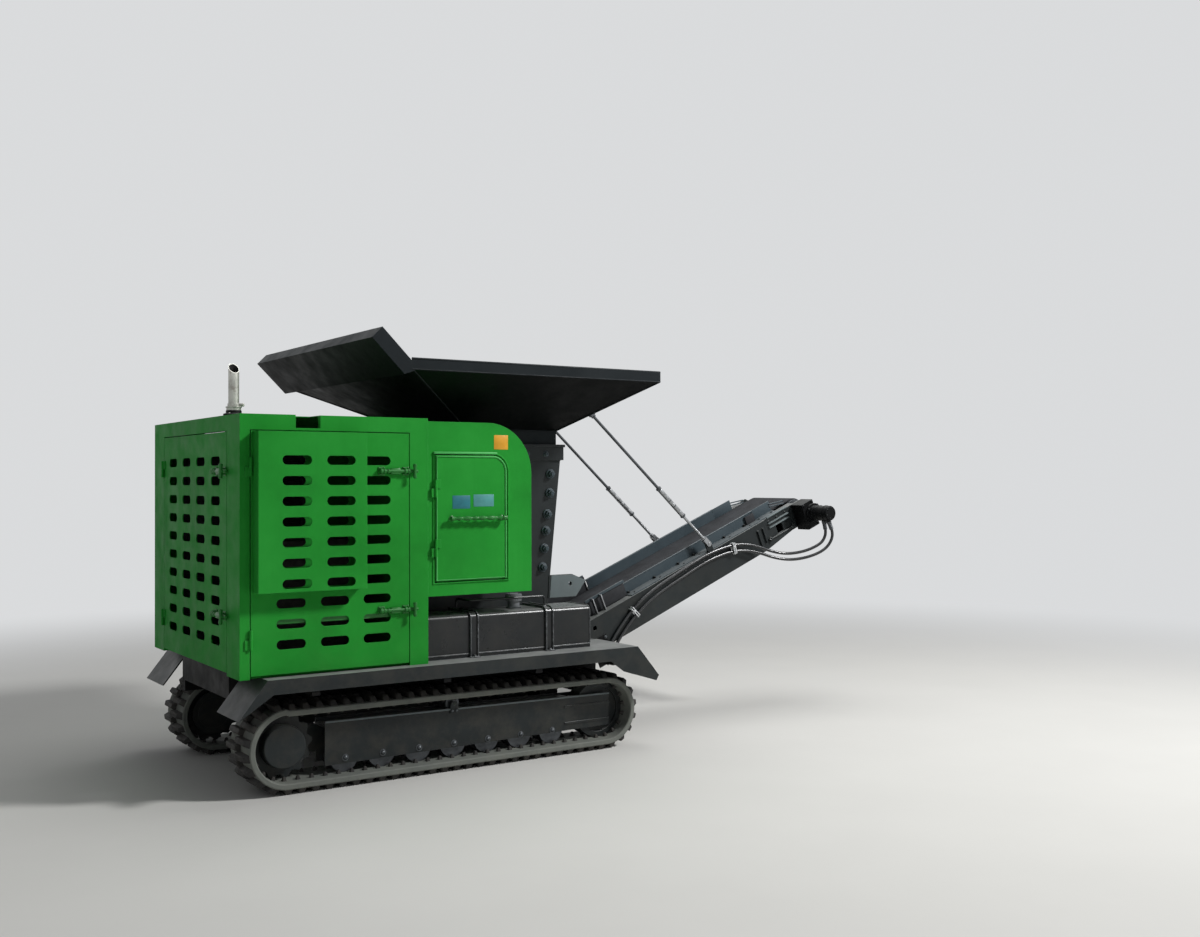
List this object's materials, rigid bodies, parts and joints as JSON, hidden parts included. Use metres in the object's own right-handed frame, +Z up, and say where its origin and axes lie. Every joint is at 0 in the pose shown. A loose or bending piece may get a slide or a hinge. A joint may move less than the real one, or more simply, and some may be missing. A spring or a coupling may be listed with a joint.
{
  "type": "tracked jaw crusher",
  "caption": "Compact tracked jaw crusher with a slotted engine housing, a feed hopper over the jaws and an inclined discharge conveyor held by two stays.",
  "frame": {"origin": "centre of the footprint on the ground, half way between the rearmost and the foremost point", "axes": "+X forward to the conveyor's discharge end, +Y to the side away from the slotted guard, +Z up"},
  "size_m": [4.2256, 1.726, 2.3326],
  "materials": {
    "green_paint": "gloss",
    "dark_paint": "satin",
    "black_paint": "satin",
    "track_rubber": "matt",
    "belt_rubber": "matt",
    "hose_rubber": "satin",
    "bright_steel": "satin",
    "dark_steel": "satin",
    "wear_steel": "worn"
  },
  "bodies": {
    "machine": {"chassis_rails": "dark_paint", "chassis_cross_members": "dark_paint", "deck_brackets": "dark_paint", "conveyor_pivot_ears": "dark_paint", "decks": "dark_paint", "track_frames": "black_paint", "track_belt_near": "track_rubber", "track_belt_far": "track_rubber", "sprockets": "dark_steel", "idlers": "dark_steel", "track_rollers_near": "dark_steel", "track_rollers_far": "dark_steel", "housing_rear_frame": "green_paint", "housing_side_near": "green_paint", "housing_side_far": "green_paint", "housing_roof": "green_paint", "housing_bulkhead": "green_paint", "side_cover_near": "green_paint", "side_cover_far": "green_paint", "exhaust_stack": "bright_steel", "engine_block": "wear_steel", "tanks": "dark_paint", "tank_straps": "dark_paint", "tank_caps": "black_paint", "crusher_body": "dark_paint", "fixed_jaw": "wear_steel", "swing_jaw": "wear_steel", "hopper": "black_paint"},
    "side_door_near": {"side_door_near": "green_paint", "side_door_guard": "green_paint", "side_latches_near": "green_paint"},
    "side_door_far": {"side_door_far": "green_paint", "side_latches_far": "green_paint"},
    "rear_door": {"rear_door": "green_paint", "rear_latches": "green_paint"},
    "crusher_door_near": {"crusher_door_near": "green_paint", "crusher_handle_near": "green_paint"},
    "crusher_door_far": {"crusher_door_far": "green_paint", "crusher_handle_far": "green_paint"},
    "flywheels": {"flywheels": "wear_steel"},
    "conveyor": {"conveyor_frame": "dark_paint", "conveyor_ties": "dark_paint", "conveyor_belt": "belt_rubber", "conveyor_drums": "dark_steel", "conveyor_rollers": "dark_steel", "conveyor_skirts": "dark_paint", "conveyor_motor": "dark_steel", "hose_ports": "dark_steel", "hose_upper": "hose_rubber", "hose_lower": "hose_rubber"},
    "stay_upper_near": {"stay_upper_near": "dark_steel"},
    "stay_upper_far": {"stay_upper_far": "dark_steel"},
    "stay_lower_near": {"stay_lower_near": "bright_steel"},
    "stay_lower_far": {"stay_lower_far": "bright_steel"}
  },
  "joints": [
    {"name": "side_door_near_hinge", "type": "hinge", "parent": "machine", "child": "side_door_near", "pos_m": [-2.02426, -0.768, 1.2], "axis": [0, 0, -1], "range_deg": [0, 95]},
    {"name": "side_door_far_hinge", "type": "hinge", "parent": "machine", "child": "side_door_far", "pos_m": [-2.02426, 0.768, 1.2], "axis": [0, 0, 1], "range_deg": [0, 95]},
    {"name": "rear_door_hinge", "type": "hinge", "parent": "machine", "child": "rear_door", "pos_m": [-2.08476, 0.5625, 1.2], "axis": [0, 0, -1], "range_deg": [0, 100]},
    {"name": "crusher_door_near_hinge", "type": "hinge", "parent": "machine", "child": "crusher_door_near", "pos_m": [-1.03826, -0.774, 1.35], "axis": [0, 0, -1], "range_deg": [0, 110]},
    {"name": "crusher_door_far_hinge", "type": "hinge", "parent": "machine", "child": "crusher_door_far", "pos_m": [-1.03826, 0.774, 1.35], "axis": [0, 0, 1], "range_deg": [0, 110]},
    {"name": "flywheel_spin", "type": "hinge", "parent": "machine", "child": "flywheels", "pos_m": [-0.76676, 0, 1.42], "axis": [0, 1, 0], "continuous": true},
    {"name": "conveyor_tilt", "type": "hinge", "parent": "machine", "child": "conveyor", "pos_m": [-0.37222, 0, 0.32281], "axis": [0, -1, 0], "range_deg": [-2.5, 2.5]},
    {"name": "stay_swing_near", "type": "hinge", "parent": "machine", "child": "stay_upper_near", "pos_m": [0.24324, -0.284, 1.985], "axis": [0, -1, 0], "range_deg": [-1.5, 1.5]},
    {"name": "stay_slide_near", "type": "slide", "parent": "stay_upper_near", "child": "stay_lower_near", "axis": [0.7426, 0, -0.6697], "range_m": [-0.08, 0.08]},
    {"name": "stay_swing_far", "type": "hinge", "parent": "machine", "child": "stay_upper_far", "pos_m": [0.24324, 0.284, 1.985], "axis": [0, -1, 0], "range_deg": [-1.5, 1.5]},
    {"name": "stay_slide_far", "type": "slide", "parent": "stay_upper_far", "child": "stay_lower_far", "axis": [0.7426, 0, -0.6697], "range_m": [-0.08, 0.08]}
  ],
  "couplings": [
    {"joint": "stay_swing_near", "follows": "conveyor_tilt", "ratio": 0.48257},
    {"joint": "stay_slide_near", "follows": "conveyor_tilt", "m_per_rad": -1.6465},
    {"joint": "stay_swing_far", "follows": "conveyor_tilt", "ratio": 0.48257},
    {"joint": "stay_slide_far", "follows": "conveyor_tilt", "m_per_rad": -1.6465}
  ]
}
